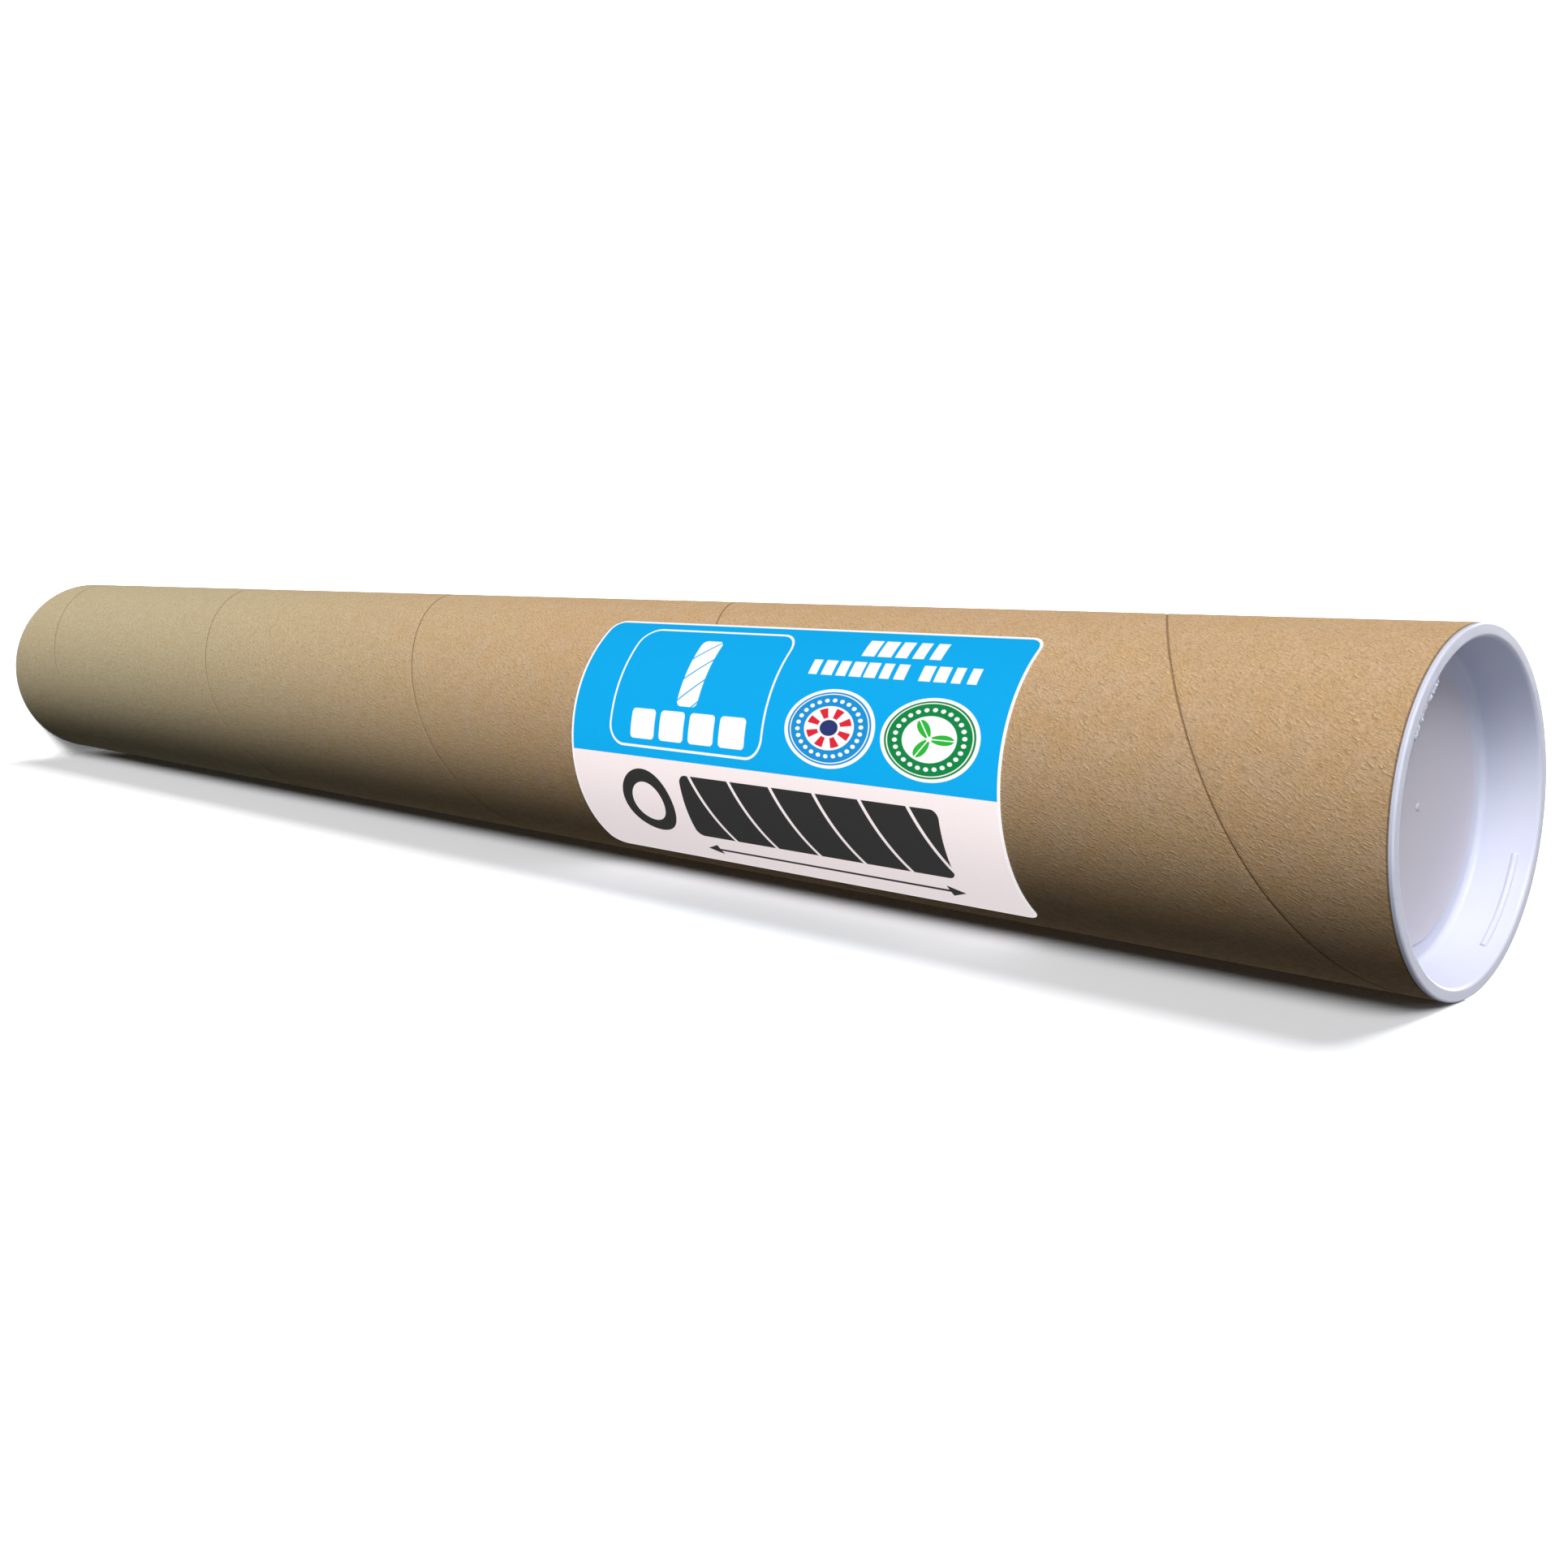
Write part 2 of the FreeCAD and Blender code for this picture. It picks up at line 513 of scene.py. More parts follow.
def bend_round_tube(sheet):
    """Lays the flat sheet on its glue round the tube, in the middle of its front."""
    height = NEAR_END - LABEL_FROM_NEAR_END
    for corner in sheet.data.vertices:
        angle = corner.co.x / LABEL_RADIUS
        corner.co = (
            LABEL_RADIUS * math.sin(angle),
            -LABEL_RADIUS * math.cos(angle),
            corner.co.z + height,
        )


# Nodes

def add(tree, kind, inputs=None, **settings):
    """Adds a node, sets it, and sets or links its inputs."""
    made = tree.nodes.new(kind)
    for setting, value in settings.items():
        setattr(made, setting, value)
    for socket, value in (inputs or {}).items():
        if isinstance(value, bpy.types.NodeSocket):
            tree.links.new(value, made.inputs[socket])
        else:
            made.inputs[socket].default_value = value
    return made


def calc(tree, operation, *values, clamp=False):
    """One step of arithmetic."""
    inputs = dict(enumerate(values))
    return add(tree, "ShaderNodeMath", inputs, operation=operation, use_clamp=clamp).outputs[0]


def vector_calc(tree, operation, *values, result=0):
    """One step of arithmetic on places."""
    inputs = dict(enumerate(values))
    return add(tree, "ShaderNodeVectorMath", inputs, operation=operation).outputs[result]


def reach_of(tree, place):
    """How far a place is from 0."""
    return vector_calc(tree, "LENGTH", place, result=1)


def split(tree, place):
    """The three parts of a place."""
    return add(tree, "ShaderNodeSeparateXYZ", {0: place}).outputs


def flat_place(tree, along, across):
    return add(tree, "ShaderNodeCombineXYZ", {0: along, 1: across}).outputs[0]


def from_axis(tree, place):
    """How far a place is from the axis."""
    parts = split(tree, place)
    return reach_of(tree, flat_place(tree, parts[0], parts[1]))


def from_step_middle(tree, value):
    """How far a value is from the middle of its whole step, 0 to 0.5."""
    return calc(tree, "ABSOLUTE", calc(tree, "SUBTRACT", calc(tree, "FRACT", value), 0.5))


def both(tree, one, other):
    return calc(tree, "MULTIPLY", one, other)


def either(tree, one, other):
    return calc(tree, "MAXIMUM", one, other)


def ramp(tree, value, low, high, low_out=0.0, high_out=1.0):
    """Maps a range of the value to another, with soft ends."""
    inputs = {"Value": value, 1: low, 2: high, 3: low_out, 4: high_out}
    return add(tree, "ShaderNodeMapRange", inputs, interpolation_type="SMOOTHSTEP").outputs[0]


def blend(tree, share, under, over, blend_type="MIX"):
    """Lays one colour over another by a mask."""
    inputs = {0: share, 6: under, 7: over}
    return add(tree, "ShaderNodeMix", inputs, data_type="RGBA", blend_type=blend_type).outputs[2]


def tint(tree, under, mask, share, over):
    """Lays a share of a colour over another where the mask is."""
    return blend(tree, calc(tree, "MULTIPLY", mask, share), under, over)


def noise(tree, place, scale, detail=2.0, roughness=0.5, dimensions="3D"):
    inputs = {"Vector": place, "Scale": scale, "Detail": detail, "Roughness": roughness}
    return add(tree, "ShaderNodeTexNoise", inputs, noise_dimensions=dimensions).outputs["Fac"]


def colour(red, green, blue):
    """A colour from its screen values, 0 to 255."""
    def linear(value):
        share = value / 255
        return share / 12.92 if share <= 0.04045 else ((share + 0.055) / 1.055) ** 2.4
    return (linear(red), linear(green), linear(blue), 1.0)


KINDS = {"value": "NodeSocketFloat", "vector": "NodeSocketVector", "colour": "NodeSocketColor"}


def group(name, inputs, outputs):
    """A node group with named sockets. Inputs come as (name, kind, default)."""
    made = bpy.data.node_groups.new(name, "ShaderNodeTree")
    for label, kind, default in inputs:
        socket = made.interface.new_socket(name=label, in_out="INPUT", socket_type=KINDS[kind])
        if default is not None:
            socket.default_value = default
    for label, kind in outputs:
        made.interface.new_socket(name=label, in_out="OUTPUT", socket_type=KINDS[kind])
    return made, made.nodes.new("NodeGroupInput").outputs, made.nodes.new("NodeGroupOutput").inputs


def use(tree, effect, **inputs):
    """Places a group in a tree. Input names are written with _ for a space."""
    named = {label.replace("_", " "): value for label, value in inputs.items()}
    return add(tree, "ShaderNodeGroup", named, node_tree=effect).outputs


# Effects that several materials use

def make_fibres():
    """Short fibres pressed into a sheet, lying along u."""
    made, given, out = group(
        "pressed fibres",
        [
            ("Sheet", "vector", None),
            ("Length", "value", 0.002),
            ("Width", "value", 0.0004),
            ("Share", "value", 0.5),
        ],
        [("Streaks", "value")],
    )
    parts = split(made, given["Sheet"])
    drift = noise(made, given["Sheet"], 90.0, 1.0)
    bent = calc(made, "MULTIPLY_ADD", drift, 0.0035, parts[1])
    along = calc(made, "DIVIDE", parts[0], given["Length"])
    cells = flat_place(made, along, calc(made, "DIVIDE", bent, given["Width"]))
    grain = noise(made, cells, 1.0, 2.0, 0.55, "2D")
    edge = calc(made, "SUBTRACT", 0.78, calc(made, "MULTIPLY", given["Share"], 0.32))
    streaks = ramp(made, grain, edge, calc(made, "ADD", edge, 0.12))
    made.links.new(streaks, out["Streaks"])
    return made


def make_mottle():
    """Soft cloudy patches, from 0 to 1 round a middle of 0.5."""
    made, given, out = group(
        "soft mottle",
        [("Place", "vector", None), ("Size", "value", 0.005), ("Contrast", "value", 1.0)],
        [("Value", "value")],
    )
    clouds = noise(made, given["Place"], calc(made, "DIVIDE", 1.0, given["Size"]), 3.0, 0.6)
    spread = calc(made, "MULTIPLY", calc(made, "SUBTRACT", clouds, 0.5), given["Contrast"])
    made.links.new(calc(made, "ADD", spread, 0.5, clamp=True), out["Value"])
    return made


def make_specks():
    """Small scattered specks, a share of one to each cell."""
    made, given, out = group(
        "scattered specks",
        [
            ("Place", "vector", None),
            ("Spacing", "value", 0.006),
            ("Size", "value", 0.0004),
            ("Share", "value", 0.3),
        ],
        [("Mask", "value")],
    )
    scale = calc(made, "DIVIDE", 1.0, given["Spacing"])
    cells = add(made, "ShaderNodeTexVoronoi", {"Vector": given["Place"], "Scale": scale}).outputs
    reach = calc(made, "MULTIPLY", cells["Distance"], given["Spacing"])
    spot = ramp(made, reach, calc(made, "MULTIPLY", given["Size"], 0.6), given["Size"], 1.0, 0.0)
    chance = add(made, "ShaderNodeSeparateColor", {0: cells["Color"]}).outputs[0]
    chosen = calc(made, "LESS_THAN", chance, given["Share"])
    made.links.new(calc(made, "MULTIPLY", spot, chosen), out["Mask"])
    return made


FIBRES = make_fibres()
MOTTLE = make_mottle()
SPECKS = make_specks()


def streaks(tree, sheet, length, width, share):
    return use(tree, FIBRES, Sheet=sheet, Length=length, Width=width, Share=share)["Streaks"]


def mottle(tree, place, size, contrast):
    return use(tree, MOTTLE, Place=place, Size=size, Contrast=contrast)["Value"]


def specks(tree, place, spacing, size, share):
    return use(tree, SPECKS, Place=place, Spacing=spacing, Size=size, Share=share)["Mask"]


def new_material(name):
    """A material, its node tree and its shader."""
    made = bpy.data.materials.new(name)
    made.use_nodes = True
    tree = made.node_tree
    return made, tree, tree.nodes["Principled BSDF"]


def object_place(tree):
    return add(tree, "ShaderNodeTexCoord").outputs["Object"]


def set_shader(shader, **values):
    for label, value in values.items():
        shader.inputs[label.replace("_", " ")].default_value = value


def feed(tree, shader, **sockets):
    for label, socket in sockets.items():
        tree.links.new(socket, shader.inputs[label.replace("_", " ")])


def relief(tree, height, distance, strength=1.0, under=None):
    inputs = {"Height": height, "Distance": distance, "Strength": strength}
    if under is not None:
        inputs["Normal"] = under
    return add(tree, "ShaderNodeBump", inputs).outputs[0]


# Kraft paper

def kraft_sheet():
    """The smooth brown outer ply, with fibres slanted across it and a darker butt joint. The fibres'
    light streaks are partly painted highlight, each with a painted shadow streak beside it, and
    painted shadow darkens the ply just under the near cap's rim.
    """
    made, tree, shader = new_material("kraft_sheet")
    place = object_place(tree)
    sheet = add(tree, "ShaderNodeUVMap", uv_map="ply").outputs[0]
    turn = {"Vector": sheet, "Angle": -FIBRE_SLANT}
    slanted = add(tree, "ShaderNodeVectorRotate", turn, rotation_type="Z_AXIS").outputs[0]
    # The streaks are drawn twice, a fibre's width apart: the first set is raised fibres with a
    # painted highlight, the second a painted shadow beside each one.
    beside = vector_calc(tree, "ADD", slanted, (0.0, FIBRE_WIDTH, 0.0))
    fibres = streaks(tree, slanted, FIBRE_LENGTH, FIBRE_WIDTH, 0.62)
    painted_fibre_shadows = streaks(tree, beside, FIBRE_LENGTH, FIBRE_WIDTH, 0.7)
    hairs = streaks(tree, slanted, HAIR_LENGTH, HAIR_WIDTH, 0.8)
    clouds = mottle(tree, place, 0.0026, 3.0)
    drift = mottle(tree, place, 0.009, 3.0)
    dark_specks = specks(tree, place, 0.0105, 0.0004, 0.2)
    pale_specks = specks(tree, place, 0.0085, 0.00045, 0.12)
    grain = noise(tree, place, 1500.0, 3.0, 0.65)
    height = split(tree, place)[2]
    far_part = ramp(tree, height, 0.08, 0.48, 1.0, 0.0)
    # Painted shadow of the gap under the near cap's rim: the ply darkens over its last half
    # millimetre
    painted_rim_shadow = ramp(tree, height, NEAR_END - 0.5 * MM, NEAR_END - 0.15 * MM, 0.0, 0.7)
    base = blend(tree, drift, colour(210, 173, 129), colour(211, 179, 145))
    base = blend(tree, far_part, base, colour(196, 188, 156))
    base = tint(tree, base, clouds, 0.38, colour(184, 156, 116))
    # Painted highlight along the fibres, then the painted shadow beside them
    base = tint(tree, base, fibres, 0.5, colour(232, 206, 168))
    base = tint(tree, base, painted_fibre_shadows, 0.42, colour(158, 126, 86))
    base = tint(tree, base, hairs, 0.3, colour(168, 134, 94))
    base = blend(tree, ramp(tree, grain, 0.42, 0.68, 0.0, 0.26), base, colour(172, 142, 106))
    base = tint(tree, base, dark_specks, 0.5, colour(112, 84, 58))
    base = tint(tree, base, pale_specks, 0.45, colour(230, 210, 178))
    base = blend(tree, seam_shade(tree, sheet), base, colour(116, 92, 66))
    # The painted rim shadow
    base = blend(tree, painted_rim_shadow, base, colour(92, 78, 64))
    raised = calc(tree, "MULTIPLY_ADD", fibres, 0.65, calc(tree, "MULTIPLY", hairs, 0.5))
    normal = relief(tree, calc(tree, "MULTIPLY_ADD", grain, 1.3, raised), 0.00012, 0.8)
    rough = ramp(tree, clouds, 0.2, 0.8, 0.72, 0.82)
    feed(tree, shader, Base_Color=base, Roughness=rough, Normal=normal)
    set_shader(shader, Specular_IOR_Level=0.1)
    return made


def seam_shade(tree, sheet):
    """1 in the butt joint, fading over the ply's two pressed edges."""
    width = SEAM_PITCH * math.cos(math.atan(SEAM_PITCH / (math.tau * TUBE_RADIUS)))
    across = split(tree, sheet)[1]
    to_upper = calc(tree, "SUBTRACT", width, across)
    nearest = calc(tree, "MINIMUM", across, to_upper)
    return ramp(tree, nearest, SEAM_WIDTH * 0.25, SEAM_WIDTH * 0.8, 0.65, 0.0)


def board():
    """The greyer board of the plies inside, with their lines round the cut ends."""
    made, tree, shader = new_material("board_inside")
    place = object_place(tree)
    wobble = noise(tree, place, 300.0, 2.0)
    plies_out = calc(tree, "DIVIDE", from_axis(tree, place), BOARD_PLY)
    layer = calc(tree, "MULTIPLY_ADD", wobble, 0.25, plies_out)
    ply_lines = ramp(tree, from_step_middle(tree, layer), 0.34, 0.48)
    clouds = mottle(tree, place, 0.004, 1.6)
    fuzz = noise(tree, place, 2600.0, 2.0)
    base = blend(tree, clouds, colour(168, 140, 106), colour(186, 158, 122))
    base = tint(tree, base, ply_lines, 0.35, colour(118, 92, 66))
    normal = relief(tree, calc(tree, "SUBTRACT", fuzz, ply_lines), 0.00012, 0.5)
    rough = ramp(tree, clouds, 0, 1, 0.8, 0.92)
    feed(tree, shader, Base_Color=base, Roughness=rough, Normal=normal)
    set_shader(shader, Specular_IOR_Level=0.2)
    return made


# White plastic

def cap_plastic():
    """Smooth, slightly blue moulded plastic with faint flow marks and handling scuffs."""
    made, tree, shader = new_material("cap_plastic")
    place = object_place(tree)
    flow = mottle(tree, place, 0.02, 1.4)
    scuffs = streaks(tree, place, 0.006, 0.0007, 0.2)
    grime = specks(tree, place, 0.013, 0.0003, 0.2)
    grain = noise(tree, place, 1400.0, 2.0)
    out = from_axis(tree, place)
    thin_floor = ramp(tree, out, DISC_RADIUS, DISC_RADIUS + 0.4 * MM, 1.0, 0.0)
    base = blend(tree, flow, colour(204, 207, 225), colour(210, 213, 229))
    base = blend(tree, thin_floor, base, colour(210, 206, 218))
    base = tint(tree, base, scuffs, 0.12, colour(196, 196, 208))
    base = tint(tree, base, grime, 0.5, colour(120, 120, 130))
    worn = calc(tree, "MULTIPLY", scuffs, 0.15)
    rough = calc(tree, "ADD", ramp(tree, flow, 0.2, 0.8, 0.3, 0.38), worn)
    normal = relief(tree, grain, 0.00002, 0.5, relief(tree, flow, 0.0006, 0.25))
    feed(tree, shader, Base_Color=base, Roughness=rough, Normal=normal)
    set_shader(shader, Specular_IOR_Level=0.25)
    return made


# Sticker print. Places on it are in millimetres along and round from its upper far corner.
# A block is its centre, half size and corner, and an oval its centre and half size.

PRINT_MARGIN = 0.8
PRINT_CORNER = 3.7
FIELD_SPLIT = 44.0
INK_SOFTNESS = 0.12

FRAME_BOX = ((47.6, 22.3), (30.3, 18.7), 6.0)
FRAME_LINE = 0.7
STANDING_TUBE = ((47.6, 18.0), (4.1, 10.6), 1.8)
STANDING_SLANT = 0.8
STANDING_PITCH = 6.5
TILE_STARTS = (26.2, 38.1, 50.0, 61.9)
TILE_MIDDLE = 34.5
TILE_HALF = (4.9, 4.3)
TILE_CORNER = 1.3

# Rows of dashes: start, pitch, count, middle and half height
DASH_ROWS = (
    (102.4, 5.4, 5, 6.9, 2.8),
    (87.4, 4.8, 7, 14.0, 2.3),
    (124.2, 4.8, 4, 14.0, 2.3),
)

# Seals: the sizes inside one are shares of its half size
BLUE_SEAL = ((100.9, 30.6), (15.2, 10.4))
GREEN_SEAL = ((133.2, 31.0), (15.1, 10.45))
SEAL_BAND = 0.92
SEAL_RING = 0.865
SEAL_RING_HALF = 0.012
SEAL_DOTS = 26
SEAL_DOTS_OUT = 0.7
SEAL_DOT = 0.05
SEAL_MIDDLE = 0.55
WEDGE_DISC = 0.5
WEDGE_COUNT = 8
LEAF_COUNT = 3.0

END_RING = ((30.0, 58.0), (10.5, 10.5))
END_RING_MIDDLE = 0.8
END_RING_HALF = 0.19
LYING_TUBE = ((91.0, 58.0), (45.5, 10.0), 2.5)
LYING_SLANT = -0.55
LYING_PITCH = 15.5
ARROW_LEVEL = 73.6
ARROW_SHAFT = ((91.0, ARROW_LEVEL), (41.0, 0.5), 0.4)
ARROW_TIPS = ((45.5, 1.0), (136.5, -1.0))
ARROW_LENGTH = 5.0
ARROW_SLOPE = 0.45


def make_block():
    """How far a point is outside a block with rounded corners."""
    made, given, out = group(
        "rounded block",
        [
            ("Place", "vector", None),
            ("Centre", "vector", None),
            ("Half Size", "vector", None),
            ("Corner", "value", 1.0),
        ],
        [("Distance", "value")],
    )
    offset = vector_calc(made, "SUBTRACT", given["Place"], given["Centre"])
    corner = flat_place(made, given["Corner"], given["Corner"])
    core = vector_calc(made, "SUBTRACT", given["Half Size"], corner)
    past = vector_calc(made, "SUBTRACT", vector_calc(made, "ABSOLUTE", offset), core)
    reach = reach_of(made, vector_calc(made, "MAXIMUM", past, (0.0, 0.0, 0.0)))
    made.links.new(calc(made, "SUBTRACT", reach, given["Corner"]), out["Distance"])
    return made


def make_oval():
    """A point's reach from an oval's centre, 1 on its edge, and its turn round it, 0 to 1."""
    made, given, out = group(
        "oval",
        [
            ("Place", "vector", None),
            ("Centre", "vector", None),
            ("Half Size", "vector", (1.0, 1.0, 1.0)),
        ],
        [("Reach", "value"), ("Turn", "value")],
    )
    offset = vector_calc(made, "SUBTRACT", given["Place"], given["Centre"])
    unit = vector_calc(made, "DIVIDE", offset, given["Half Size"])
    parts = split(made, unit)
    angle = calc(made, "ARCTAN2", parts[1], parts[0])
    made.links.new(reach_of(made, unit), out["Reach"])
    made.links.new(calc(made, "MULTIPLY_ADD", angle, 1 / math.tau, 0.5), out["Turn"])
    return made


def make_ink():
    """1 where the distance is under the edge, with a thin soft border."""
    made, given, out = group(
        "ink",
        [("Distance", "value", 0.0), ("Edge", "value", 0.0), ("Softness", "value", INK_SOFTNESS)],
        [("Mask", "value")],
    )
    over = calc(made, "SUBTRACT", given["Distance"], given["Edge"])
    past = calc(made, "DIVIDE", over, given["Softness"])
    made.links.new(calc(made, "SUBTRACT", 0.5, past, clamp=True), out["Mask"])
    return made


def make_dashes():
    """A row of uneven dashes, as a line of print looks from afar."""
    made, given, out = group(
        "row of dashes",
        [
            ("Place", "vector", None),
            ("Start", "value", 0.0),
            ("Pitch", "value", 5.0),
            ("Count", "value", 5.0),
            ("Middle", "value", 0.0),
            ("Half Height", "value", 2.0),
        ],
        [("Mask", "value")],
    )
    parts = split(made, given["Place"])
    along = calc(made, "DIVIDE", calc(made, "SUBTRACT", parts[0], given["Start"]), given["Pitch"])
    cell = calc(made, "FLOOR", along)
    started = calc(made, "GREATER_THAN", cell, -0.5)
    inside = both(made, started, calc(made, "LESS_THAN", cell, given["Count"]))
    seed = calc(made, "ADD", cell, given["Start"])
    random = add(made, "ShaderNodeTexWhiteNoise", {"W": seed}, noise_dimensions="1D")
    half = calc(made, "MULTIPLY_ADD", random.outputs["Value"], 0.14, 0.28)
    across = from_step_middle(made, along)
    over_x = calc(made, "MULTIPLY", calc(made, "SUBTRACT", across, half), given["Pitch"])
    up = calc(made, "ABSOLUTE", calc(made, "SUBTRACT", parts[1], given["Middle"]))
    over_y = calc(made, "SUBTRACT", up, given["Half Height"])
    past = calc(made, "MAXIMUM", over_x, over_y)
    mask = calc(made, "SUBTRACT", 0.5, calc(made, "DIVIDE", past, INK_SOFTNESS), clamp=True)
    made.links.new(both(made, mask, inside), out["Mask"])
    return made


BLOCK = make_block()
OVAL = make_oval()
INK = make_ink()
DASHES = make_dashes()

WHITE_INK = colour(244, 244, 244)
BLUE_INK = colour(12, 164, 228)
PALE_PAPER = colour(242, 230, 231)
DARK_INK = colour(46, 46, 46)
NAVY_INK = colour(44, 54, 110)
RED_INK = colour(214, 40, 58)
SEAL_BLUE = colour(26, 140, 206)
SEAL_GREEN = colour(16, 128, 66)
LEAF_GREEN = colour(44, 176, 58)


def block(tree, place, centre, half, corner):
    centre, half = (*centre, 0.0), (*half, 0.0)
    found = use(tree, BLOCK, Place=place, Centre=centre, Half_Size=half, Corner=corner)
    return found["Distance"]


def oval(tree, place, centre, half):
    return use(tree, OVAL, Place=place, Centre=(*centre, 0.0), Half_Size=(*half, 1.0))


def ink(tree, distance, edge=0.0, softness=INK_SOFTNESS):
    return use(tree, INK, Distance=distance, Edge=edge, Softness=softness)["Mask"]


def outline(tree, distance, width):
    return ink(tree, calc(tree, "ABSOLUTE", distance), width / 2)


def paint_fields(tree, place):
    """The white sheet, its blue upper field and its pale lower one."""
    middle = (LABEL_LENGTH / MM / 2, LABEL_WRAP / MM / 2)
    half = (middle[0] - PRINT_MARGIN, middle[1] - PRINT_MARGIN)
    printed = ink(tree, block(tree, place, middle, half, PRINT_CORNER))
    down = split(tree, place)[1]
    lower = ink(tree, calc(tree, "SUBTRACT", FIELD_SPLIT, down))
    fields = blend(tree, lower, BLUE_INK, PALE_PAPER)
    return blend(tree, printed, WHITE_INK, fields)


def paint_framed_box(tree, place, under):
    """The outlined box, with a standing tube and four tiles in it."""
    mark = outline(tree, block(tree, place, *FRAME_BOX), FRAME_LINE)
    parts = split(tree, place)
    slant = calc(tree, "MULTIPLY_ADD", parts[0], STANDING_SLANT, parts[1])
    seam = from_step_middle(tree, calc(tree, "DIVIDE", slant, STANDING_PITCH))
    body = ink(tree, block(tree, place, *STANDING_TUBE))
    mark = either(tree, mark, both(tree, body, ramp(tree, seam, 0.03, 0.06)))
    for start in TILE_STARTS:
        centre = (start + TILE_HALF[0], TILE_MIDDLE)
        mark = either(tree, mark, ink(tree, block(tree, place, centre, TILE_HALF, TILE_CORNER)))
    return blend(tree, mark, under, WHITE_INK)


def paint_dash_rows(tree, place, under):
    for start, pitch, count, middle, half in DASH_ROWS:
        mask = use(
            tree,
            DASHES,
            Place=place,
            Start=start,
            Pitch=pitch,
            Count=float(count),
            Middle=middle,
            Half_Height=half,
        )["Mask"]
        under = blend(tree, mask, under, WHITE_INK)
    return under


def seal(tree, place, centre, half, under, band_ink):
    """A white oval with a coloured band round it and a ring of dots on the band."""
    found = oval(tree, place, centre, half)
    reach, turn = found["Reach"], found["Turn"]
    soft = INK_SOFTNESS / half[1]
    painted = blend(tree, ink(tree, reach, 1.0, soft), under, WHITE_INK)
    painted = blend(tree, ink(tree, reach, SEAL_BAND, soft), painted, band_ink)
    off_ring = calc(tree, "ABSOLUTE", calc(tree, "SUBTRACT", reach, SEAL_RING))
    painted = blend(tree, ink(tree, off_ring, SEAL_RING_HALF, soft), painted, WHITE_INK)
    step = calc(tree, "FRACT", calc(tree, "MULTIPLY", turn, SEAL_DOTS))
    around = calc(tree, "SUBTRACT", step, 0.5)
    sideways = calc(tree, "MULTIPLY", around, math.tau * SEAL_DOTS_OUT / SEAL_DOTS)
    spread = flat_place(tree, sideways, calc(tree, "SUBTRACT", reach, SEAL_DOTS_OUT))
    dot = ink(tree, reach_of(tree, spread), SEAL_DOT, soft)
    painted = blend(tree, dot, painted, WHITE_INK)
    painted = blend(tree, ink(tree, reach, SEAL_MIDDLE, soft), painted, WHITE_INK)
    return painted, reach, turn, soft


def wedges(tree, turn, count, share):
    """Evenly spaced wedges that fill a share of the turn."""
    around = from_step_middle(tree, calc(tree, "MULTIPLY", turn, float(count)))
    return ramp(tree, around, share / 2 - 0.02, share / 2 + 0.02, 1.0, 0.0)


def paint_blue_seal(tree, place, under):
    """The seal with red wedges round a navy disc."""
    painted, reach, turn, soft = seal(tree, place, *BLUE_SEAL, under, SEAL_BLUE)
    disc = ink(tree, reach, WEDGE_DISC, soft)
    petals = both(tree, disc, wedges(tree, turn, WEDGE_COUNT, 0.5))
    painted = blend(tree, petals, painted, RED_INK)
    painted = blend(tree, ink(tree, reach, 0.25, soft), painted, WHITE_INK)
    return blend(tree, ink(tree, reach, 0.2, soft), painted, NAVY_INK)


def paint_green_seal(tree, place, under):
    """The seal with three veined leaves."""
    painted, reach, turn, soft = seal(tree, place, *GREEN_SEAL, under, SEAL_GREEN)
    around = from_step_middle(tree, calc(tree, "MULTIPLY", turn, LEAF_COUNT))
    leaf_edge = ramp(tree, around, 0.0, 0.42, 0.5, 0.06)
    leaf = ink(tree, calc(tree, "SUBTRACT", reach, leaf_edge), 0.0, soft)
    vein = ramp(tree, calc(tree, "MULTIPLY", around, reach), 0.004, 0.008)
    leaf = both(tree, leaf, vein)
    painted = blend(tree, leaf, painted, LEAF_GREEN)
    return blend(tree, ink(tree, reach, 0.06, soft), painted, WHITE_INK)


def paint_size_mark(tree, place, under):
    """A tube seen from its end and from its side, with an arrow under it as long as the tube."""
    parts = split(tree, place)
    off_ring = calc(tree, "SUBTRACT", oval(tree, place, *END_RING)["Reach"], END_RING_MIDDLE)
    ring_mark = ink(tree, calc(tree, "ABSOLUTE", off_ring), END_RING_HALF, 0.012)
    slant = calc(tree, "MULTIPLY_ADD", parts[1], LYING_SLANT, parts[0])
    seam = from_step_middle(tree, calc(tree, "DIVIDE", slant, LYING_PITCH))
    body = ink(tree, block(tree, place, *LYING_TUBE))
    side_mark = both(tree, body, ramp(tree, seam, 0.03, 0.045))
    shaft = ink(tree, block(tree, place, *ARROW_SHAFT))
    mark = either(tree, either(tree, ring_mark, side_mark), shaft)
    for tip, way in ARROW_TIPS:
        into = calc(tree, "MULTIPLY", calc(tree, "SUBTRACT", parts[0], tip), way)
        up = calc(tree, "ABSOLUTE", calc(tree, "SUBTRACT", parts[1], ARROW_LEVEL))
        slope = calc(tree, "SUBTRACT", up, calc(tree, "MULTIPLY", into, ARROW_SLOPE))
        head = both(tree, ink(tree, slope), ink(tree, into, ARROW_LENGTH))
        mark = either(tree, mark, head)
    return blend(tree, mark, under, DARK_INK)


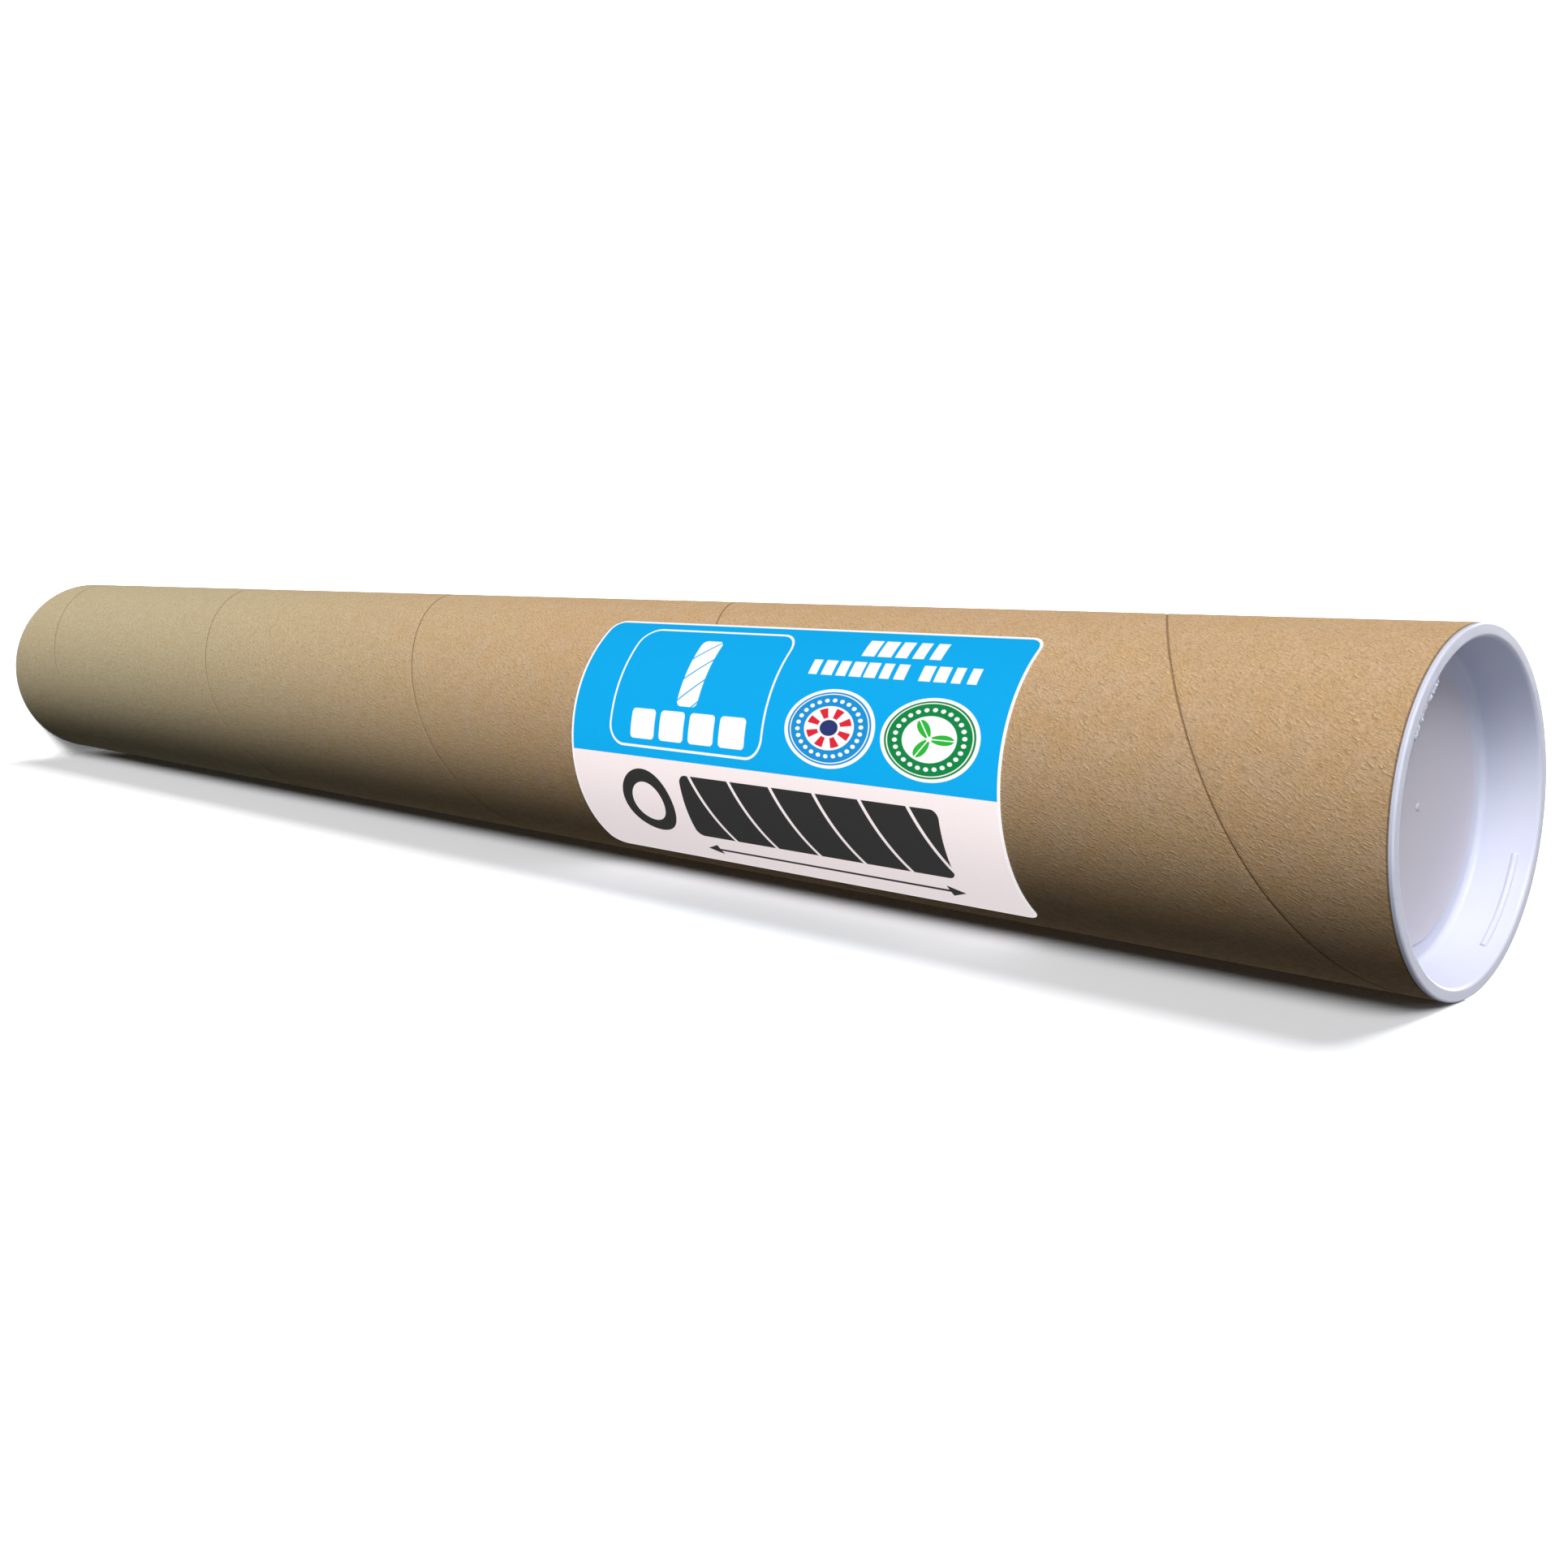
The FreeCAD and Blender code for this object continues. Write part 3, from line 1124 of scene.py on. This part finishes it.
def label_print():
    made, tree, shader = new_material("label_print")
    sheet = add(tree, "ShaderNodeUVMap", uv_map="print").outputs[0]
    place = vector_calc(tree, "MULTIPLY", sheet, (1 / MM, 1 / MM, 0.0))
    painted = paint_fields(tree, place)
    painted = paint_framed_box(tree, place, painted)
    painted = paint_dash_rows(tree, place, painted)
    painted = paint_blue_seal(tree, place, painted)
    painted = paint_green_seal(tree, place, painted)
    painted = paint_size_mark(tree, place, painted)
    paper = mottle(tree, object_place(tree), 0.0015, 1.2)
    greyed = calc(tree, "MULTIPLY", paper, 0.08)
    painted = blend(tree, greyed, painted, colour(205, 205, 205), "MULTIPLY")
    rough = ramp(tree, paper, 0.2, 0.8, 0.48, 0.6)
    normal = relief(tree, paper, 0.00003, 0.3)
    feed(tree, shader, Base_Color=painted, Roughness=rough, Normal=normal)
    set_shader(shader, Specular_IOR_Level=0.12)
    return made


# Pieces, with the bodies they ride on

def dress(piece, body, node, materials):
    for made in materials:
        piece.data.materials.append(made)
    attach(piece, body)
    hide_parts(node)


tube = kraft_tube()
dress(tube, "tube", "paper_tube", [kraft_sheet(), board()])
for face in tube.data.polygons:
    outside = round_out(face.center) > TUBE_RADIUS - SEAM_DEPTH * 1.5
    on_ply = outside and abs(face.normal.z) < FACES_AXIS
    face.material_index = 0 if on_ply else 1

plastic = cap_plastic()
near = near_cap()
dress(near, "near_cap", "near_end_cap", [plastic])
far = far_cap()
dress(far, "far_cap", "far_end_cap", [plastic])
print_sheet = sticker()
dress(print_sheet, "tube", "label", [label_print()])


# Floor and backdrop

def pale_ground(name, seen, plain, fade=0.0):
    """White ground that keeps the object's shadow and shows only from its front.

    The camera sees one tone and other rays meet a plain one. With a fade the ground grows clear
    below that height.
    """
    made, tree, shader = new_material(name)
    tree.nodes.remove(shader)
    rays = add(tree, "ShaderNodeLightPath").outputs
    tone = blend(tree, rays["Is Camera Ray"], plain, seen)
    matt = add(tree, "ShaderNodeBsdfDiffuse", {"Color": tone}).outputs[0]
    clear = add(tree, "ShaderNodeBsdfTransparent").outputs[0]
    back = add(tree, "ShaderNodeNewGeometry").outputs["Backfacing"]
    if fade:
        height = split(tree, object_place(tree))[2]
        back = either(tree, back, ramp(tree, height, 0.0, fade, 1.0, 0.0))
    shown = add(tree, "ShaderNodeMixShader", {0: back, 1: matt, 2: clear}).outputs[0]
    tree.links.new(shown, tree.nodes["Material Output"].inputs["Surface"])
    return made


def plain_plane(name, location, rotation, scale):
    deselect()
    bpy.ops.mesh.primitive_plane_add(size=1, location=location, rotation=rotation)
    plane = name_piece(name)
    plane.scale = scale
    settle()
    return plane


FLOOR_SIDE = 6
SIDE_HEIGHT = 1.0
SIDE_REACH = 0.82

floor = plain_plane("floor", (0, 0, 0), (0, 0, 0), (FLOOR_SIDE, FLOOR_SIDE, 1))
floor.data.materials.append(
    pale_ground("floor_white", seen=(3.2, 3.2, 3.2, 1), plain=(0.06, 0.06, 0.06, 1))
)
side_ground = plain_plane(
    "side_ground",
    location=(TUBE_RADIUS, -SIDE_REACH / 2, SIDE_HEIGHT / 2),
    rotation=(0, -math.pi / 2, 0),
    scale=(SIDE_HEIGHT, SIDE_REACH, 1),
)
side_ground.data.materials.append(
    pale_ground("side_white", seen=(0.645, 0.655, 0.675, 1), plain=(0.8, 0.8, 0.8, 1), fade=0.05)
)
side_ground.visible_diffuse = False
side_ground.visible_glossy = False
side_ground.visible_transmission = False
side_ground.visible_shadow = False


# Light

def soft_sun(name, toward, strength, angle, tint=(1, 1, 1), only=None):
    """A broad soft lamp that shines from a direction, on everything or on one piece only."""
    data = bpy.data.lights.new(name, "SUN")
    data.energy = strength * math.pi
    data.angle = math.radians(angle)
    data.color = tint
    lamp = bpy.data.objects.new(name, data)
    bpy.context.scene.collection.objects.link(lamp)
    lamp.rotation_mode = "QUATERNION"
    lamp.rotation_quaternion = Vector(toward).to_track_quat("Z", "Y")
    if only is not None:
        lit = bpy.data.collections.new(name)
        lit.objects.link(only)
        lamp.light_linking.receiver_collection = lit


def round_the_side(azimuth, rise):
    """A direction from its azimuth and its height above the horizon, in degrees."""
    angle, up = math.radians(azimuth), math.radians(rise)
    return (math.cos(angle) * math.cos(up), math.sin(angle) * math.cos(up), math.sin(up))


soft_sun("key", round_the_side(213, 22), 1.14, 36, (1.0, 0.99, 0.98))
soft_sun("top_fill", round_the_side(205, 76), 0.17, 24)
soft_sun("back_fill", round_the_side(100, 3), 0.45, 30, (0.98, 0.99, 1.0))
soft_sun("cap_fill", round_the_side(290, 10), 0.16, 30, (0.86, 0.93, 1.0), only=near)
soft_sun("label_fill", round_the_side(322, 10), 1.0, 60, only=print_sheet)
soft_sun("ground_shade", round_the_side(159, 4), 0.74, 15, only=side_ground)


AMBIENT = (0.05, 0.053, 0.058, 1)


def studio_world():
    """White to the camera and in reflections, and a faint light on everything else."""
    world = bpy.data.worlds.new("studio")
    world.use_nodes = True
    tree = world.node_tree
    rays = add(tree, "ShaderNodeLightPath").outputs
    seen = either(tree, rays["Is Camera Ray"], rays["Is Glossy Ray"])
    seen = either(tree, seen, rays["Is Transmission Ray"])
    tone = blend(tree, seen, AMBIENT, (1, 1, 1, 1))
    tree.links.new(tone, tree.nodes["Background"].inputs["Color"])
    return world


bpy.context.scene.world = studio_world()
bpy.context.scene.view_settings.view_transform = "Standard"


# Camera

CAMERA_PLACE = (-0.053148, -0.356069, 0.796954)
CAMERA_RIGHT = (0.0, 0.722062, 0.691829)
CAMERA_UP = (-0.994011, 0.075603, -0.078907)
CAMERA_LOOK = (0.10928, 0.687685, -0.717737)


def photo_camera():
    """The photograph's viewpoint: past the near end, looking down the tube, turned on its side."""
    data = bpy.data.cameras.new("camera")
    data.sensor_width = 36
    data.lens = 38.126
    data.shift_x = 0.06
    data.shift_y = -0.028
    camera = bpy.data.objects.new("camera", data)
    bpy.context.scene.collection.objects.link(camera)
    axes = Matrix((Vector(CAMERA_RIGHT), Vector(CAMERA_UP), -Vector(CAMERA_LOOK)))
    camera.matrix_world = Matrix.Translation(CAMERA_PLACE) @ axes.transposed().to_4x4()
    bpy.context.scene.camera = camera


photo_camera()
